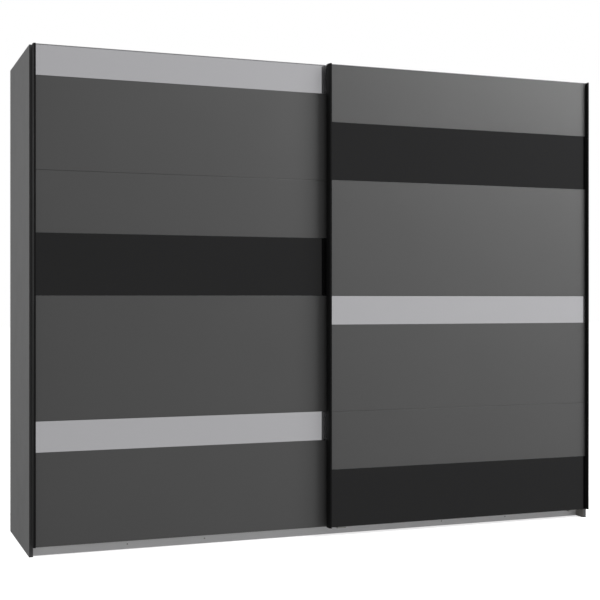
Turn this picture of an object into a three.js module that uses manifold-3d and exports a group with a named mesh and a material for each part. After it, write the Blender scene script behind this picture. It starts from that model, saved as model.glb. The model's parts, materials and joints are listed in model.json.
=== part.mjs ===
// Sliding door wardrobe: a flat-packed carcass with two full-height doors that hang in front of it.
// Millimetres, +Z up, front towards -Y, origin on the floor under the middle of the bounding box.
import * as THREE from 'three';
import { mergeVertices } from 'three/addons/utils/BufferGeometryUtils.js';
import Module from 'manifold-3d';

const wasm = await Module();
wasm.setup();

// ---- Driving dimensions ----
const WIDTH = 2700;               // over the side panels
const HEIGHT = 2120;              // side panels and door tops
const SIDE_DEPTH = 575;           // side panels, front edge to back edge
const BOARD = 16;                 // chipboard of the carcass and the doors
const FIT = 0.3;                  // play between pieces that are slid or laid into each other

// Doors: planes are measured forward from the carcass front.
const DOOR_WIDTH = 1374;
const DOOR_EDGE_INSET = 10;       // outer door edge to the outside of the side panel
const DOOR_BOTTOM = 45.6;
const INNER_DOOR_FRONT = 28;
const OUTER_DOOR_FRONT = 60;
const INNER_LIP = 11;             // how far the grip of the rear door stands proud
const OUTER_LIP = 19;
const SEGMENTS = 4;               // boards stacked in one door
const STRIPE_UNITS = 16;          // the stripes are laid out in sixteenths of the door
const SEAM = 0.6;                 // shadow gap between two stacked boards
const GLASS = 4;
const CHANNEL_WALL = 2.2;         // web of the grip profile at the door's edge
const CHANNEL_REACH = 13;         // how far its flanges cover the boards
const FLANGE = 1.1;

// Carcass
const TOP_RECESS = 48;            // the top panels lie this far below the side panels' tops
const BOTTOM_PANEL = 48;          // underside of the bottom panels
const PANEL_FRONT = 2;            // the inner boards stand back this much from the front
const BACK_PLANE = 560;           // front of the back panels
const BACK_SHEET = 3;
const BACK_GROOVE = 8;
const FILLER_DEPTH = 36;
const SHELF_HEIGHT = 1700;
const SHELF_DEPTH = 500;
const CLOTHES_RAIL_DROP = 62;     // shelf underside to rail centre
const CLOTHES_RAIL_Y = 290;

// Running gear: y is measured back from the carcass front.
const INNER_TRACK_Y = 18;
const OUTER_TRACK_Y = 58;
const TRACK_END_Y = 78;
const TRACK_BASE = 3;
const BEAD = 3;
const WHEEL_CENTRE_DROP = 28;     // below the side panels' tops
const WHEEL_TREAD = 12;
const WHEEL_RIM = 15;
const WHEEL_WIDTH = 9;
const AXLE = 3;
const CARRIAGE_EDGE = 110;        // carriage centre to door edge
const CARRIAGE_WIDTH = 60;
const CARRIAGE_FOOT = 84;         // length of the carriage plate on the door's back
const STRAP = 2.5;
const OUTER_PLATE = 2;

// Floor rail and the arms that keep the doors' lower edges in line.
const RAIL_FRONT = 24.5;
const RAIL_DEPTH = 44;
const RAIL_HEIGHT = 34;
const RAIL_WALL = 2.5;
const FRONT_GROOVE_Y = 36;        // the front door's groove
const REAR_GROOVE_Y = 56;         // the rear door's groove
const GROOVE = 8;
const GROOVE_FLOOR = 10;
const GUIDE_EDGE = 75;            // guide centre to door edge
const ARM_WIDTH = 40;
const ARM_TOP = 110;
const GLIDER = 5;
const GLIDER_END = 15;

// ---- Derived places ----
const TOTAL_DEPTH = SIDE_DEPTH + OUTER_DOOR_FRONT + OUTER_LIP;
const FRONT_Y = OUTER_DOOR_FRONT + OUTER_LIP - TOTAL_DEPTH / 2;
const HALF = WIDTH / 2;
const INSIDE = HALF - BOARD;
const TOP_PANEL_TOP = HEIGHT - TOP_RECESS;
const TOP_PANEL_UNDER = TOP_PANEL_TOP - BOARD;
const FLOOR_TOP = BOTTOM_PANEL + BOARD;
const WHEEL_Z = HEIGHT - WHEEL_CENTRE_DROP;
const BEAD_TOP = WHEEL_Z - WHEEL_TREAD - 0.4;
const TRACK_FLOOR = TOP_PANEL_TOP + TRACK_BASE;
const DOOR_HEIGHT = HEIGHT - DOOR_BOTTOM;
const SEGMENT_HEIGHT = DOOR_HEIGHT / SEGMENTS;
const UNIT = DOOR_HEIGHT / STRIPE_UNITS;

// ---- Finishes ----
const finish = (color, roughness, metalness) =>
  new THREE.MeshStandardMaterial({ color, roughness, metalness });
const graphite = finish(0x55565a, 0.55, 0);
const darkEdge = finish(0x303133, 0.6, 0);
const interior = finish(0x8d8c89, 0.6, 0);
const backSheet = finish(0xb9b7b2, 0.7, 0);
const silverGlass = finish(0xaaaab0, 0.12, 0);
const blackGlass = finish(0x26272a, 0.08, 0);
const blackProfile = finish(0x111112, 0.4, 0.6);
const aluminium = finish(0xa9abad, 0.35, 0.9);
const steel = finish(0x8f9194, 0.4, 0.9);
const plastic = finish(0xd8d8d4, 0.5, 0);
const rubber = finish(0x202020, 0.8, 0);

// ---- Shape helpers ----
const wardrobe = new THREE.Group();
wardrobe.position.y = FRONT_Y;

function add(parent, name, geometry, material) {
  const mesh = new THREE.Mesh(geometry, material);
  mesh.name = name;
  parent.add(mesh);
  return mesh;
}

function box(x0, x1, y0, y1, z0, z1) {
  const geometry = new THREE.BoxGeometry(x1 - x0, y1 - y0, z1 - z0);
  geometry.translate((x0 + x1) / 2, (y0 + y1) / 2, (z0 + z1) / 2);
  return geometry;
}

function outline(points) {
  return new THREE.Shape(points.map(([a, b]) => new THREE.Vector2(a, b)));
}

const flatExtrude = { bevelEnabled: false, steps: 1, curveSegments: 6 };

// A section drawn in (y, z), carried along x from x0 to x1.
function alongX(section, x0, x1) {
  const geometry = new THREE.ExtrudeGeometry(section, { ...flatExtrude, depth: x1 - x0 });
  const turn = new THREE.Matrix4().makeBasis(
    new THREE.Vector3(0, 1, 0), new THREE.Vector3(0, 0, 1), new THREE.Vector3(1, 0, 0));
  geometry.applyMatrix4(turn);
  geometry.translate(x0, 0, 0);
  return geometry;
}

// A section drawn in (x, y), carried up z from z0 to z1.
function alongZ(section, z0, z1) {
  const geometry = new THREE.ExtrudeGeometry(section, { ...flatExtrude, depth: z1 - z0 });
  geometry.translate(0, 0, z0);
  return geometry;
}

function solid(geometry) {
  const bare = geometry.clone();
  bare.deleteAttribute('normal');
  bare.deleteAttribute('uv');
  const merged = mergeVertices(bare, 1e-4);
  const vertProperties = Float32Array.from(merged.attributes.position.array);
  const triVerts = Uint32Array.from(merged.index.array);
  return new wasm.Manifold(new wasm.Mesh({ numProp: 3, vertProperties, triVerts }));
}

function fromSolid(manifold) {
  const mesh = manifold.getMesh();
  const geometry = new THREE.BufferGeometry();
  geometry.setAttribute('position', new THREE.BufferAttribute(mesh.vertProperties, 3));
  geometry.setIndex(new THREE.BufferAttribute(mesh.triVerts, 1));
  return geometry;
}

function join(...geometries) {
  return fromSolid(geometries.map(solid).reduce((whole, piece) => whole.add(piece)));
}

// ---- Carcass ----
// A side panel has a groove down its inner face that takes the back sheet.
function sidePanel(side) {
  const outer = side * HALF;
  const inner = side * INSIDE;
  const grooveEnd = inner + side * BACK_GROOVE;
  const grooveFront = BACK_PLANE - FIT;
  const grooveBack = BACK_PLANE + BACK_SHEET + FIT;
  const section = outline([
    [outer, 0], [inner, 0], [inner, grooveFront], [grooveEnd, grooveFront],
    [grooveEnd, grooveBack], [inner, grooveBack], [inner, SIDE_DEPTH], [outer, SIDE_DEPTH],
  ]);
  return alongZ(section, 0, HEIGHT);
}

const sides = [['left', -1], ['right', 1]];
for (const [name, side] of sides) {
  add(wardrobe, `side_panel_${name}`, sidePanel(side), graphite);
}

// The front door stands further out, so a strip on the right panel closes the gap behind it.
add(wardrobe, 'side_filler_strip_right', box(INSIDE, HALF, -FILLER_DEPTH, 0, 0, HEIGHT), darkEdge);

add(wardrobe, 'centre_partition',
  box(-BOARD / 2, BOARD / 2, PANEL_FRONT, BACK_PLANE, FLOOR_TOP, TOP_PANEL_UNDER), interior);

for (const [name, side] of sides) {
  const x0 = Math.min(0, side * INSIDE);
  const x1 = Math.max(0, side * INSIDE);
  add(wardrobe, `top_panel_${name}`,
    box(x0, x1, PANEL_FRONT, BACK_PLANE, TOP_PANEL_UNDER, TOP_PANEL_TOP), interior);
  add(wardrobe, `bottom_panel_${name}`,
    box(x0, x1, PANEL_FRONT, BACK_PLANE, BOTTOM_PANEL, FLOOR_TOP), interior);
}

const PLINTH_FRONT = RAIL_FRONT + RAIL_DEPTH + 2;
add(wardrobe, 'plinth_front',
  box(-INSIDE, INSIDE, PLINTH_FRONT, PLINTH_FRONT + BOARD, 0, BOTTOM_PANEL), interior);
add(wardrobe, 'plinth_rear',
  box(-INSIDE, INSIDE, BACK_PLANE - 2 * BOARD, BACK_PLANE - BOARD, 0, BOTTOM_PANEL), interior);

// Four back sheets: the outer edges sit in the side grooves, the middle edges are nailed to the
// partition, and an H strip joins the two sheets of each half.
const STRIP_X = INSIDE / 2;
const STRIP_WEB = 2;
const STRIP_REACH = 12;
const backEdges = [
  [-INSIDE - BACK_GROOVE + 1, -STRIP_X - STRIP_WEB / 2 - FIT],
  [-STRIP_X + STRIP_WEB / 2 + FIT, -FIT],
  [FIT, STRIP_X - STRIP_WEB / 2 - FIT],
  [STRIP_X + STRIP_WEB / 2 + FIT, INSIDE + BACK_GROOVE - 1],
];
backEdges.forEach(([x0, x1], index) => {
  const sheet = box(x0, x1, BACK_PLANE, BACK_PLANE + BACK_SHEET, BOTTOM_PANEL, TOP_PANEL_TOP);
  add(wardrobe, `back_panel_${index + 1}`, sheet, backSheet);
});

function jointStrip(x) {
  const near = BACK_PLANE - FIT;
  const far = BACK_PLANE + BACK_SHEET + FIT;
  const wall = 1;
  const section = outline([
    [x - STRIP_REACH, near - wall], [x + STRIP_REACH, near - wall], [x + STRIP_REACH, near],
    [x + STRIP_WEB / 2, near], [x + STRIP_WEB / 2, far], [x + STRIP_REACH, far],
    [x + STRIP_REACH, far + wall], [x - STRIP_REACH, far + wall], [x - STRIP_REACH, far],
    [x - STRIP_WEB / 2, far], [x - STRIP_WEB / 2, near], [x - STRIP_REACH, near],
  ]);
  return alongZ(section, FLOOR_TOP + 1, TOP_PANEL_UNDER - 1);
}
for (const [name, side] of sides) {
  add(wardrobe, `back_joint_strip_${name}`, jointStrip(side * STRIP_X), plastic);
}

// ---- Inside: a hat shelf and an oval clothes rail in each half ----
const RAIL_TUBE = { width: 15, height: 30, wall: 1.5 };
const SOCKET = { reach: 12, wall: 4 };
const CLOTHES_RAIL_Z = SHELF_HEIGHT - CLOTHES_RAIL_DROP;

function oval(width, height) {
  const radius = width / 2;
  const straight = height / 2 - radius;
  const shape = new THREE.Shape();
  shape.absarc(CLOTHES_RAIL_Y, CLOTHES_RAIL_Z + straight, radius, 0, Math.PI, false);
  shape.absarc(CLOTHES_RAIL_Y, CLOTHES_RAIL_Z - straight, radius, Math.PI, 2 * Math.PI, false);
  shape.closePath();
  return shape;
}

function ovalRing(width, height, wall, x0, x1) {
  const ring = oval(width, height);
  ring.holes.push(oval(width - 2 * wall, height - 2 * wall));
  return alongX(ring, x0, x1);
}

sides.forEach(([name, side], index) => {
  const wallX = side * INSIDE;
  const partitionX = side * BOARD / 2;
  const x0 = Math.min(wallX, partitionX);
  const x1 = Math.max(wallX, partitionX);
  const shelfFront = BACK_PLANE - SHELF_DEPTH;
  add(wardrobe, `hat_shelf_${name}`,
    box(x0, x1, shelfFront, BACK_PLANE - 2, SHELF_HEIGHT, SHELF_HEIGHT + BOARD), interior);
  add(wardrobe, `clothes_rail_${name}`,
    ovalRing(RAIL_TUBE.width, RAIL_TUBE.height, RAIL_TUBE.wall, x0 + 1, x1 - 1), steel);
  const collarWidth = RAIL_TUBE.width + 2 * (SOCKET.wall + FIT);
  const collarHeight = RAIL_TUBE.height + 2 * (SOCKET.wall + FIT);
  [[x0, x0 + SOCKET.reach], [x1 - SOCKET.reach, x1]].forEach(([a, b], end) => {
    add(wardrobe, `clothes_rail_socket_${2 * index + end + 1}`,
      ovalRing(collarWidth, collarHeight, SOCKET.wall, a, b), plastic);
  });
});

// ---- Top track: two beads on one extrusion, screwed down on the top panels ----
const TRACK_LIP = 7;
const trackSection = outline([
  [PANEL_FRONT, TOP_PANEL_TOP], [TRACK_END_Y, TOP_PANEL_TOP],
  [TRACK_END_Y, TRACK_FLOOR + TRACK_LIP], [TRACK_END_Y - 2, TRACK_FLOOR + TRACK_LIP],
  [TRACK_END_Y - 2, TRACK_FLOOR],
  [OUTER_TRACK_Y + BEAD / 2, TRACK_FLOOR], [OUTER_TRACK_Y + BEAD / 2, BEAD_TOP - 0.8],
  [OUTER_TRACK_Y + BEAD / 2 - 0.8, BEAD_TOP], [OUTER_TRACK_Y - BEAD / 2 + 0.8, BEAD_TOP],
  [OUTER_TRACK_Y - BEAD / 2, BEAD_TOP - 0.8], [OUTER_TRACK_Y - BEAD / 2, TRACK_FLOOR],
  [INNER_TRACK_Y + BEAD / 2, TRACK_FLOOR], [INNER_TRACK_Y + BEAD / 2, BEAD_TOP - 0.8],
  [INNER_TRACK_Y + BEAD / 2 - 0.8, BEAD_TOP], [INNER_TRACK_Y - BEAD / 2 + 0.8, BEAD_TOP],
  [INNER_TRACK_Y - BEAD / 2, BEAD_TOP - 0.8], [INNER_TRACK_Y - BEAD / 2, TRACK_FLOOR],
  [PANEL_FRONT + 2, TRACK_FLOOR], [PANEL_FRONT + 2, TRACK_FLOOR + TRACK_LIP],
  [PANEL_FRONT, TRACK_FLOOR + TRACK_LIP],
]);
add(wardrobe, 'top_track', alongX(trackSection, -INSIDE + 0.5, INSIDE - 0.5), aluminium);

// A stop sits over both beads near each end of the track and meets the wheels' rims.
const STOP_LENGTH = 30;
const STOP_PLAY = 1.5;
const DOOR_EDGE = HALF - DOOR_EDGE_INSET;
const REST_WHEEL_EDGE = DOOR_EDGE - CARRIAGE_EDGE + WHEEL_RIM;
const INNER_RIGHT_LOSS = 12;      // the rear door stops short of the filler strip

function trackStop(side, innerFace, outerFace) {
  const far = Math.max(innerFace, outerFace) + STOP_LENGTH;
  const low = TRACK_FLOOR + FIT;
  const bridgeTop = BEAD_TOP + 2.5;
  const blockTop = WHEEL_Z + 6;
  const half = WHEEL_WIDTH / 2;
  const placed = (near, y0, y1, z0, z1) => {
    const a = Math.min(side * near, side * far);
    const b = Math.max(side * near, side * far);
    return box(a, b, y0, y1, z0, z1);
  };
  const bridgeNear = Math.max(innerFace, outerFace);
  const innerBlock = placed(innerFace, INNER_TRACK_Y - half, INNER_TRACK_Y + half, low, blockTop);
  const outerBlock = placed(outerFace, OUTER_TRACK_Y - half, OUTER_TRACK_Y + half, low, blockTop);
  const bridge = placed(bridgeNear, INNER_TRACK_Y, OUTER_TRACK_Y, low, bridgeTop);
  let stop = solid(innerBlock).add(solid(outerBlock)).add(solid(bridge));
  for (const y of [INNER_TRACK_Y, OUTER_TRACK_Y]) {
    const slotHalf = BEAD / 2 + FIT;
    const slot = placed(0, y - slotHalf, y + slotHalf, low - 1, BEAD_TOP + FIT);
    stop = stop.subtract(solid(slot));
  }
  return fromSolid(stop);
}
const OUTER_STOP = REST_WHEEL_EDGE + STOP_PLAY;
add(wardrobe, 'track_stop_left', trackStop(-1, OUTER_STOP, OUTER_STOP), rubber);
add(wardrobe, 'track_stop_right',
  trackStop(1, OUTER_STOP - INNER_RIGHT_LOSS, OUTER_STOP), rubber);

// ---- Floor rail: a thin-walled extrusion with two grooves open at the top ----
function railSection() {
  const back = RAIL_FRONT + RAIL_DEPTH;
  const w = RAIL_WALL;
  const half = GROOVE / 2;
  const points = [[RAIL_FRONT, 0], [RAIL_FRONT + w, 0], [RAIL_FRONT + w, RAIL_HEIGHT - w]];
  for (const y of [FRONT_GROOVE_Y, REAR_GROOVE_Y]) {
    points.push([y - half - w, RAIL_HEIGHT - w], [y - half - w, GROOVE_FLOOR - w]);
    points.push([y + half + w, GROOVE_FLOOR - w], [y + half + w, RAIL_HEIGHT - w]);
  }
  points.push([back - w, RAIL_HEIGHT - w], [back - w, 0], [back, 0], [back, RAIL_HEIGHT]);
  for (const y of [REAR_GROOVE_Y, FRONT_GROOVE_Y]) {
    points.push([y + half, RAIL_HEIGHT], [y + half, GROOVE_FLOOR]);
    points.push([y - half, GROOVE_FLOOR], [y - half, RAIL_HEIGHT]);
  }
  points.push([RAIL_FRONT, RAIL_HEIGHT]);
  return outline(points);
}
add(wardrobe, 'floor_rail', alongX(railSection(), -INSIDE + 0.5, INSIDE - 0.5), aluminium);

// ---- Doors ----
// Grip profile at a door's edge: a channel that holds the boards, with a lip to pull on.
// u runs from the door's edge inwards, v forwards from the boards' front face.
function gripSection(inward, edge, lip) {
  const shape = new THREE.Shape();
  const at = (u, v) => [edge + inward * u, -v];
  const line = (u, v) => shape.lineTo(...at(u, v));
  const curve = (cu, cv, u, v) => shape.quadraticCurveTo(...at(cu, cv), ...at(u, v));
  const back = -BOARD - FIT - FLANGE;
  const inside = FIT;
  shape.moveTo(...at(0, back));
  line(0, inside);
  curve(0.4, lip * 0.7, 4.4, lip - 0.7);
  curve(4.9, lip, 5.6, lip);
  line(10.2, lip);
  curve(11, lip, 11, lip - 0.8);
  line(11, lip - 2);
  curve(7.2, lip - 3.2, 7.2, lip * 0.5);
  curve(7.2, FIT + FLANGE, 9.8, FIT + FLANGE);
  line(CHANNEL_REACH, FIT + FLANGE);
  line(CHANNEL_REACH, inside);
  line(CHANNEL_WALL, inside);
  line(CHANNEL_WALL, -BOARD - FIT);
  line(CHANNEL_REACH, -BOARD - FIT);
  line(CHANNEL_REACH, back);
  shape.closePath();
  return shape;
}

// One stacked board. Where a glass stripe is let in, its front is rebated by the glass thickness.
// y runs from the door's front face backwards.
function boardSection(z0, z1, stripe) {
  if (!stripe) {
    return outline([[0, z0], [BOARD, z0], [BOARD, z1], [0, z1]]);
  }
  const depth = GLASS + FIT;
  const low = stripe.z0 - FIT;
  const high = stripe.z1 + FIT;
  const points = [[BOARD, z0], [BOARD, z1]];
  if (high < z1 - SEAM) {
    points.push([0, z1], [0, high]);
  }
  points.push([depth, Math.min(high, z1)], [depth, Math.max(low, z0)]);
  if (low > z0 + SEAM) {
    points.push([0, low], [0, z0]);
  }
  return outline(points);
}

// The top edge is capped by a thin angle between the grips; its back edge ends at the board's back.
function capSection() {
  const wall = 1.1;
  const drop = 3.4;
  return outline([
    [-FIT - wall, HEIGHT - drop], [-FIT, HEIGHT - drop], [-FIT, HEIGHT - wall],
    [BOARD - FIT, HEIGHT - wall], [BOARD - FIT, HEIGHT], [-FIT - wall, HEIGHT],
  ]);
}

// Bent steel carriage: a plate on the door's back, a strap over the track and a leg with the axle.
function carriage(centreX, backY, plate, strapTop, trackY) {
  const legNear = trackY + WHEEL_WIDTH / 2 + 1.5;
  const legFar = legNear + STRAP;
  const strapUnder = strapTop - STRAP;
  const section = outline([
    [backY, HEIGHT - CARRIAGE_FOOT], [backY + plate, HEIGHT - CARRIAGE_FOOT],
    [backY + plate, strapUnder], [legNear, strapUnder], [legNear, WHEEL_Z - 8],
    [legFar, WHEEL_Z - 8], [legFar, strapTop], [backY, strapTop],
  ]);
  const bent = alongX(section, centreX - CARRIAGE_WIDTH / 2, centreX + CARRIAGE_WIDTH / 2);
  const axleStart = trackY - WHEEL_WIDTH / 2 - 2;
  const axleEnd = legNear + 1;
  const axle = new THREE.CylinderGeometry(AXLE, AXLE, axleEnd - axleStart, 24);
  axle.translate(centreX, (axleStart + axleEnd) / 2, WHEEL_Z);
  return join(bent, axle);
}

// Wheel with a groove that rides on the bead; it turns about y.
function wheelGeometry() {
  const half = WHEEL_WIDTH / 2;
  const grooveHalf = BEAD / 2 + 0.6;
  const bore = AXLE + 0.15;
  const profile = [
    [bore, -half], [WHEEL_RIM - 0.6, -half], [WHEEL_RIM, -half + 0.6], [WHEEL_RIM, -grooveHalf - 0.4],
    [WHEEL_TREAD, -grooveHalf], [WHEEL_TREAD, grooveHalf], [WHEEL_RIM, grooveHalf + 0.4],
    [WHEEL_RIM, half - 0.6], [WHEEL_RIM - 0.6, half], [bore, half], [bore, -half],
  ];
  return new THREE.LatheGeometry(profile.map(([r, y]) => new THREE.Vector2(r, y)), 40);
}

// Arm under the door that reaches back over the floor rail and dips a glider into its groove.
function guideArm(centreX, backY, plate, armTop, grooveY) {
  const far = grooveY + GLIDER / 2;
  const near = grooveY - GLIDER / 2;
  const section = outline([
    [backY, armTop - STRAP], [near, armTop - STRAP], [near, GLIDER_END], [far, GLIDER_END],
    [far, armTop], [backY + plate, armTop], [backY + plate, ARM_TOP], [backY, ARM_TOP],
  ]);
  return alongX(section, centreX - ARM_WIDTH / 2, centreX + ARM_WIDTH / 2);
}

// Stripes are given from the door's top, in sixteenths: segment, first unit, last unit, glass.
const silver = { material: silverGlass, label: 'silver' };
const black = { material: blackGlass, label: 'black' };
const doors = [
  {
    name: 'left_door',
    edge: -DOOR_EDGE,
    front: -INNER_DOOR_FRONT,
    lip: INNER_LIP,
    plate: STRAP,
    strapTop: HEIGHT - 6,
    trackY: INNER_TRACK_Y,
    grooveY: REAR_GROOVE_Y,
    armTop: RAIL_HEIGHT + 9.5,
    stripes: [[0, 0, 1, silver, 'top'], [1, 2, 4, black, 'middle'], [3, 0, 1, silver, 'lower']],
  },
  {
    name: 'right_door',
    edge: DOOR_EDGE - DOOR_WIDTH,
    front: -OUTER_DOOR_FRONT,
    lip: OUTER_LIP,
    plate: OUTER_PLATE,
    strapTop: HEIGHT + 4,
    trackY: OUTER_TRACK_Y,
    grooveY: FRONT_GROOVE_Y,
    armTop: RAIL_HEIGHT + 4.5,
    stripes: [[0, 2, 4, black, 'upper'], [2, 0, 1, silver, 'middle'], [3, 2, 4, black, 'bottom']],
  },
];

for (const door of doors) {
  const group = new THREE.Group();
  group.position.y = door.front;
  wardrobe.add(group);
  const left = door.edge;
  const right = door.edge + DOOR_WIDTH;
  const boardLeft = left + CHANNEL_WALL + FIT;
  const boardRight = right - CHANNEL_WALL - FIT;

  for (let segment = 0; segment < SEGMENTS; segment += 1) {
    const top = HEIGHT - segment * SEGMENT_HEIGHT;
    const bottom = top - SEGMENT_HEIGHT;
    const capped = segment === 0 ? 1.4 : SEAM / 2;
    const z1 = top - capped;
    const z0 = bottom + (segment === SEGMENTS - 1 ? 0 : SEAM / 2);
    const entry = door.stripes.find(([index]) => index === segment);
    let stripe = null;
    if (entry) {
      const [, from, to, glass, place] = entry;
      stripe = {
        z0: Math.max(top - to * UNIT + FIT, z0),
        z1: Math.min(top - from * UNIT - FIT, z1),
      };
      add(group, `${door.name}_${glass.label}_glass_${place}`,
        box(boardLeft, boardRight, 0, GLASS, stripe.z0, stripe.z1), glass.material);
    }
    add(group, `${door.name}_board_${segment + 1}`,
      alongX(boardSection(z0, z1, stripe), boardLeft, boardRight), graphite);
  }

  add(group, `${door.name}_grip_left`,
    alongZ(gripSection(1, left, door.lip), DOOR_BOTTOM, HEIGHT), blackProfile);
  add(group, `${door.name}_grip_right`,
    alongZ(gripSection(-1, right, door.lip), DOOR_BOTTOM, HEIGHT), blackProfile);
  add(group, `${door.name}_top_cap`,
    alongX(capSection(), left + CHANNEL_REACH + FIT, right - CHANNEL_REACH - FIT), aluminium);

  // The running gear is placed from the carcass front, so it hangs off the wardrobe group.
  const backY = door.front + BOARD;
  for (const [end, edge, inward] of [['left', left, 1], ['right', right, -1]]) {
    const x = edge + inward * CARRIAGE_EDGE;
    add(wardrobe, `${door.name}_carriage_${end}`,
      carriage(x, backY, door.plate, door.strapTop, door.trackY), steel);
    add(wardrobe, `${door.name}_guide_${end}`,
      guideArm(edge + inward * GUIDE_EDGE, backY, door.plate, door.armTop, door.grooveY), steel);
    const wheel = add(wardrobe, `${door.name}_wheel_${end}`, wheelGeometry(), plastic);
    wheel.position.set(x, door.trackY, WHEEL_Z);
  }
}

export default wardrobe;
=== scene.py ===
import json
import math

import bmesh
import bpy
from mathutils import Matrix, Vector

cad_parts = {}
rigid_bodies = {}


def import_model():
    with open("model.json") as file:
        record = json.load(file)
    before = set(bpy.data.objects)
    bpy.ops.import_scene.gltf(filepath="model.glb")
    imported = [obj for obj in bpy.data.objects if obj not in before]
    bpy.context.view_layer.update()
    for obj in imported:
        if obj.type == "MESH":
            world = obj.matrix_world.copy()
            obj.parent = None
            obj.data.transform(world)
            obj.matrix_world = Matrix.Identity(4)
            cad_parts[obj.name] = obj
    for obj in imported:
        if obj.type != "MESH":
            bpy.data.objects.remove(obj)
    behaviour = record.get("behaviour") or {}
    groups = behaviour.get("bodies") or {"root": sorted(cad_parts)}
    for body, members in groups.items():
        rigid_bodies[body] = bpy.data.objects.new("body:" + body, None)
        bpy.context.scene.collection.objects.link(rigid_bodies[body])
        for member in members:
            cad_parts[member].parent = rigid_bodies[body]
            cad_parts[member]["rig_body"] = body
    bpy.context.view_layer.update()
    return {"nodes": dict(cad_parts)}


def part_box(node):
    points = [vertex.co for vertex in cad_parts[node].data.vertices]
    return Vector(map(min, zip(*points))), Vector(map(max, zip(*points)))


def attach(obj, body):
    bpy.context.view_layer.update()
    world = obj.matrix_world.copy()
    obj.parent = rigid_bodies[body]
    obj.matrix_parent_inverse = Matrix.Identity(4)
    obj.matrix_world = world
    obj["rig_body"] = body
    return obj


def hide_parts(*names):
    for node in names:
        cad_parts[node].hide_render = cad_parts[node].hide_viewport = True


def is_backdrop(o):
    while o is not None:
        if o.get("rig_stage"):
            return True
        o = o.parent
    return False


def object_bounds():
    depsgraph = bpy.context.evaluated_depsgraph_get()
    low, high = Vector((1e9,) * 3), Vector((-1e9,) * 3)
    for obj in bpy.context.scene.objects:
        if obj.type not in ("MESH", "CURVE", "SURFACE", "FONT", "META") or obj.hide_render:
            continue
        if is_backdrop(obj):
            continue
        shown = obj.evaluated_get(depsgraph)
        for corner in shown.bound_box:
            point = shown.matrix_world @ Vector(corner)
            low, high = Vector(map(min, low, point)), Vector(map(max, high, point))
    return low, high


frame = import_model()
MM = 0.001


# ---- Side panels ----
# Chipboard sides, 16 mm thick, faced with graphite melamine and standing straight on the floor.
# The front edges carry a glued edge band, coloured darker than the face as painted shade from the
# doors that overhang them, and every arris is eased after banding.
BOARD_ARRIS = 0.6 * MM
SAME_POINT = 0.02 * MM
SAME_PLANE = math.radians(0.5)


def finished(name, mesh, body, stands_for=()):
    """Puts a finished mesh in the scene on the body it rides on, and hides the nodes it stands for.
    """
    piece = bpy.data.objects.new(name, mesh)
    bpy.context.scene.collection.objects.link(piece)
    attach(piece, body)
    if stands_for:
        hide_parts(*stands_for)
    return piece


def whole(node):
    """The node's solid as one closed mesh with its flat faces in one piece each."""
    shape = bmesh.new()
    shape.from_mesh(frame["nodes"][node].data)
    bmesh.ops.remove_doubles(shape, verts=shape.verts, dist=SAME_POINT)
    bmesh.ops.dissolve_limit(shape, angle_limit=SAME_PLANE, verts=shape.verts, edges=shape.edges)
    return shape


def sharp_edges(shape, corner):
    """The edges where two faces meet at more than the corner angle, in degrees."""
    limit = math.radians(corner)
    return [edge for edge in shape.edges
            if len(edge.link_faces) == 2 and edge.calc_face_angle() > limit]


def bevel(shape, edges, width, segments):
    """Takes the edges off and returns the faces made there."""
    made = bmesh.ops.bevel(shape, geom=edges, offset=width, offset_type="OFFSET",
                           segments=segments, profile=0.5, affect="EDGES", material=-1,
                           clamp_overlap=True)
    return made["faces"]


def ease(shape, arris, segments=2, corner=40):
    """Breaks every edge sharper than the corner angle; only the new rounds are shaded smooth."""
    rounds = bevel(shape, sharp_edges(shape, corner), arris, segments)
    for face in shape.faces:
        face.smooth = False
    for face in rounds:
        face.smooth = True


def to_mesh(name, shape, materials):
    """Writes the shape to a mesh that has these materials in its slots."""
    mesh = bpy.data.meshes.new(name)
    shape.to_mesh(mesh)
    shape.free()
    for finish in materials:
        mesh.materials.append(finish)
    return mesh


def node_body(node):
    return frame["nodes"][node]["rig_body"]


def eased(node, materials, arris=BOARD_ARRIS, banded=None):
    """A piece cut to the node's own shape, with eased edges and an optional banded front."""
    shape = whole(node)
    front = min(vert.co.y for vert in shape.verts)
    ease(shape, arris)
    if banded is not None:
        for face in shape.faces:
            if face.normal.y < -0.6 and face.calc_center_median().y < front + 2 * arris:
                face.material_index = banded
    mesh = to_mesh(node + "_eased", shape, materials)
    return finished(node + "_eased", mesh, node_body(node), [node])


COLOUR = "NodeSocketColor"
NUMBER = "NodeSocketFloat"
VECTOR = "NodeSocketVector"
RESULTS = (("Color", COLOUR), ("Roughness", NUMBER), ("Height", NUMBER))


def new_group(name, inputs):
    """A new surface group: its tree, what it is given, and the place on the object."""
    tree = bpy.data.node_groups.new(name, "ShaderNodeTree")
    for label, kind, value in inputs:
        socket = tree.interface.new_socket(label, in_out="INPUT", socket_type=kind)
        socket.default_value = value
    for label, kind in RESULTS:
        tree.interface.new_socket(label, in_out="OUTPUT", socket_type=kind)
    given = tree.nodes.new("NodeGroupInput").outputs
    place = tree.nodes.new("ShaderNodeTexCoord").outputs["Object"]
    return tree, given, place


def put_out(tree, colour, roughness, height):
    """Connects a group's three results and returns the group."""
    end = tree.nodes.new("NodeGroupOutput")
    for (label, _), value in zip(RESULTS, (colour, roughness, height)):
        tree.links.new(value, end.inputs[label])
    return tree


def stretched(tree, place, factors):
    """The place scaled along each axis, which gives a pattern a direction."""
    node = tree.nodes.new("ShaderNodeVectorMath")
    node.operation = "MULTIPLY"
    tree.links.new(place, node.inputs[0])
    tree.links.new(factors, node.inputs[1])
    return node.outputs["Vector"]


def noise(tree, where, scale, detail=3.0, rough=0.55):
    node = tree.nodes.new("ShaderNodeTexNoise")
    node.inputs["Scale"].default_value = scale
    node.inputs["Detail"].default_value = detail
    node.inputs["Roughness"].default_value = rough
    tree.links.new(where, node.inputs["Vector"])
    return node.outputs["Fac"]


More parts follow.
